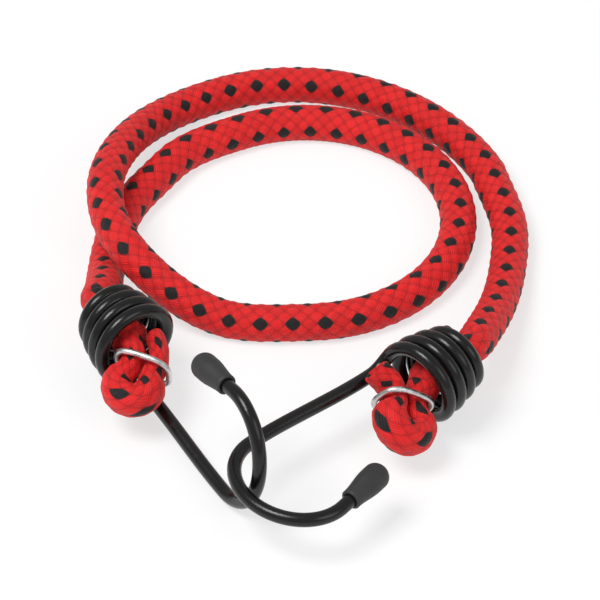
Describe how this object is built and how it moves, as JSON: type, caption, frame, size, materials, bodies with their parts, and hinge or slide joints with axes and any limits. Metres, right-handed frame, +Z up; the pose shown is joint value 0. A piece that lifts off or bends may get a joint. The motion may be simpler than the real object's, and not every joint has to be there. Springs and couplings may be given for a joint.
{
  "type": "bungee cord",
  "caption": "Elastic bungee cord with a woven sheath over rubber strands and a wound wire hook on each end, lying coiled with its hooks linked.",
  "frame": {"origin": "on the ground, under the middle of the box", "axes": "+Z up from the ground the loop lies on, +Y from the hooks towards the far side of the loop, +X to the right seen from the hooks"},
  "size_m": [0.0936, 0.1502, 0.0285],
  "materials": {
    "sheath": "woven polyester, red with black tracer yarns",
    "strand": "natural latex, matte",
    "hook": "black coated steel wire, satin",
    "tip": "dipped soft vinyl, matte",
    "clip": "bright steel wire"
  },
  "bodies": {
    "cord": {"sheath": "sheath", "strand_core": "strand", "strand_1": "strand", "strand_2": "strand", "strand_3": "strand", "strand_4": "strand", "strand_5": "strand", "strand_6": "strand", "left_clip": "clip", "right_clip": "clip"},
    "left_hook_body": {"left_hook": "hook", "left_tip": "tip"},
    "right_hook_body": {"right_hook": "hook", "right_tip": "tip"}
  },
  "joints": [
    {"name": "left_hook_swivel", "type": "hinge", "parent": "cord", "child": "left_hook_body", "pos_m": [-0.03376, -0.02574, 0.01195], "axis": [0.53, -0.848, 0], "range_deg": [-8, 35]},
    {"name": "right_hook_swivel", "type": "hinge", "parent": "cord", "child": "right_hook_body", "pos_m": [0.02103, -0.03585, 0.0116], "axis": [-0.717, -0.697, 0], "range_deg": [-3, 20]}
  ]
}
